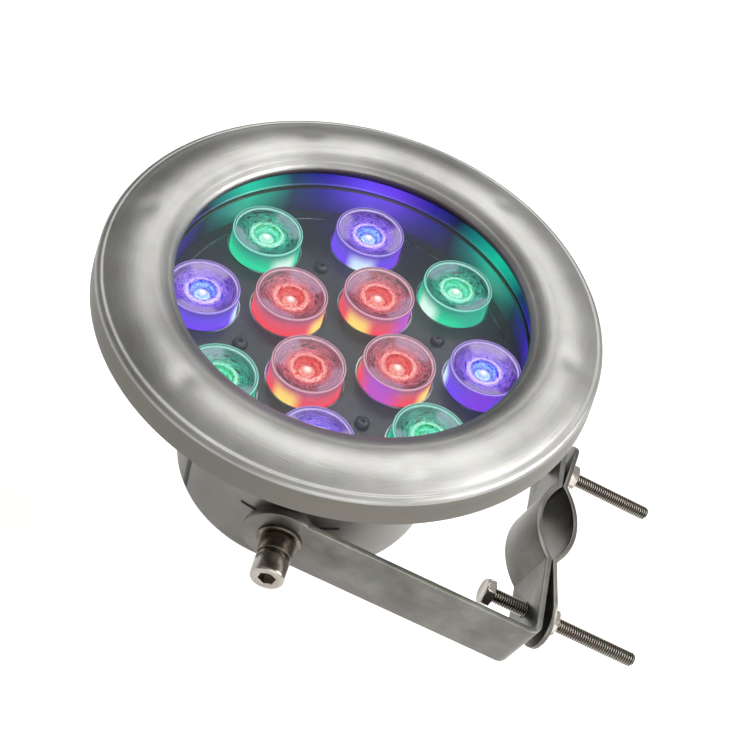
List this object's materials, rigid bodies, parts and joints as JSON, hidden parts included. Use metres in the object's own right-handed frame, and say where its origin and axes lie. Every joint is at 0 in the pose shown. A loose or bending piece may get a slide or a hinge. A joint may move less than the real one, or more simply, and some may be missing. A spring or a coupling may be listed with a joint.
{
  "type": "underwater pond light",
  "caption": "Round stainless submersible pond light with coloured LED optics under glass, tilting in a U-shaped yoke with a two-bolt pipe clamp.",
  "frame": {"origin": "centre of the pipe clamp's opening, in the plane of the yoke web's outer face, halfway along the strip's width", "axes": "+Z along the pipe or post that the clamp grips, +X along the yoke's arms from the clamp to the lamp head, Y along the head's tilt axis; the face normal leans 13 degrees from +Z towards +X at rest"},
  "size_m": [0.2596, 0.1852, 0.1429],
  "materials": {
    "bezel_steel": "spun and brushed round its axis",
    "shell_steel": "drawn, satin",
    "yoke_steel": "mill-finish strip, satin",
    "bolt_steel": "bright A2 threads",
    "fastener_steel": "bright",
    "gland_steel": "turned",
    "aluminium": "milled",
    "board_aluminium": "white solder mask",
    "optics_plate": "slate grey, semi-gloss",
    "glass": "tempered, clear",
    "rubber": "silicone, black",
    "nylon": "moulded",
    "circuit_board": "green solder mask",
    "copper_coil": "varnished copper winding",
    "capacitor": "sleeved",
    "led_red": "lit emitter",
    "led_green": "lit emitter",
    "led_blue": "lit emitter",
    "optic_red": "clear acrylic lit red",
    "optic_green": "clear acrylic lit green",
    "optic_blue": "clear acrylic lit blue-violet"
  },
  "bodies": {
    "yoke": {"yoke": "yoke_steel"},
    "head": {"bezel": "bezel_steel", "bezel_studs": "fastener_steel", "flange_nuts": "fastener_steel", "front_glass": "glass", "front_gasket": "rubber", "rear_gasket": "rubber", "lamp_pan": "shell_steel", "rear_cup": "shell_steel", "optics_plate": "optics_plate", "heat_spreader": "aluminium", "led_board": "board_aluminium", "plate_spacers": "nylon", "plate_screws": "fastener_steel", "leds_red": "led_red", "leds_green": "led_green", "leds_blue": "led_blue", "optics_red": "optic_red", "optics_green": "optic_green", "optics_blue": "optic_blue", "driver_posts": "nylon", "driver_board": "circuit_board", "driver_coil": "copper_coil", "driver_capacitors": "capacitor", "gland_body": "gland_steel", "gland_inside_nut": "gland_steel", "gland_seal": "rubber", "gland_dome_nut": "gland_steel", "pivot_bosses": "shell_steel", "pivot_washers": "fastener_steel", "pivot_sleeves": "fastener_steel", "spring_washers": "fastener_steel", "pivot_screws": "fastener_steel"},
    "plate": {"clamp_plate": "yoke_steel"},
    "bolt_near": {"clamp_bolt_near": "bolt_steel"},
    "bolt_far": {"clamp_bolt_far": "bolt_steel"},
    "nut_near": {"clamp_nut_near": "bolt_steel"},
    "nut_far": {"clamp_nut_far": "bolt_steel"}
  },
  "joints": [
    {"name": "head_tilt", "type": "hinge", "parent": "yoke", "child": "head", "pos_m": [0.105, 0, 0], "axis": [0, 1, 0], "range_deg": [-35, 189]},
    {"name": "bolt_near_slide", "type": "slide", "parent": "yoke", "child": "bolt_near", "axis": [-1, 0, 0], "range_m": [0, 0.0148]},
    {"name": "bolt_far_slide", "type": "slide", "parent": "yoke", "child": "bolt_far", "axis": [-1, 0, 0], "range_m": [0, 0.0148]},
    {"name": "nut_near_run", "type": "slide", "parent": "bolt_near", "child": "nut_near", "axis": [-1, 0, 0], "range_m": [0, 0.035]},
    {"name": "nut_far_run", "type": "slide", "parent": "bolt_far", "child": "nut_far", "axis": [-1, 0, 0], "range_m": [0, 0.035]},
    {"name": "plate_slide", "type": "slide", "parent": "yoke", "child": "plate", "axis": [-1, 0, 0], "range_m": [0, 0.035]}
  ],
  "couplings": [
    {"joint": "nut_far_run", "follows": "nut_near_run", "ratio": 1},
    {"joint": "plate_slide", "follows": "nut_near_run", "ratio": 1}
  ]
}
